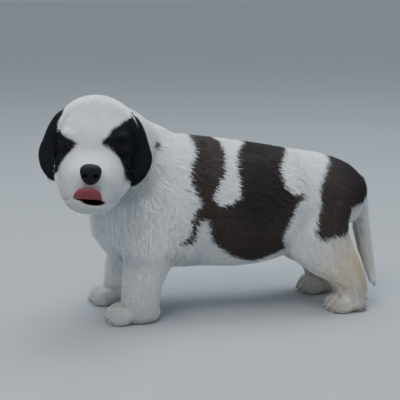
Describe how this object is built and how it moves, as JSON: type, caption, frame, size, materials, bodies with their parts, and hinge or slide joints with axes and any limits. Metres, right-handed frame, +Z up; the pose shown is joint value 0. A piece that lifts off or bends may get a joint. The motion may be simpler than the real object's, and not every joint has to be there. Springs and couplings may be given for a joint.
{
  "type": "saint bernard puppy",
  "caption": "Life-size still Saint Bernard puppy standing on all fours, head turned to its left, tongue curled over the upper lip, drop ears and hanging tail, thick soft coat.",
  "frame": {"origin": "on the floor under the middle of the bounding box, at the level of the four soles", "axes": "+X from head to tail along the body, +Y to the puppy's right, +Z up"},
  "size_m": [0.4254, 0.2332, 0.2728],
  "materials": {
    "coat": "long soft coat, white with dark patches",
    "ear": "short black fur",
    "nose": "moist leather",
    "tongue": "wet",
    "eye": "wet and glossy",
    "claw": "horn"
  },
  "bodies": {
    "root": {"claw_fore_left_1": "claw", "claw_fore_left_2": "claw", "claw_fore_left_3": "claw", "claw_fore_left_4": "claw", "claw_fore_right_1": "claw", "claw_fore_right_2": "claw", "claw_fore_right_3": "claw", "claw_fore_right_4": "claw", "claw_hind_left_1": "claw", "claw_hind_left_2": "claw", "claw_hind_left_3": "claw", "claw_hind_left_4": "claw", "claw_hind_right_1": "claw", "claw_hind_right_2": "claw", "claw_hind_right_3": "claw", "claw_hind_right_4": "claw", "ear_left": "ear", "ear_right": "ear", "eye_left": "eye", "eye_right": "eye", "foreleg_left": "coat", "foreleg_right": "coat", "forepaw_left": "coat", "forepaw_right": "coat", "head": "coat", "hindleg_left": "coat", "hindleg_right": "coat", "hindpaw_left": "coat", "hindpaw_right": "coat", "jaw": "coat", "neck": "coat", "nose": "nose", "tail": "coat", "tongue": "tongue", "torso": "coat"}
  },
  "joints": []
}
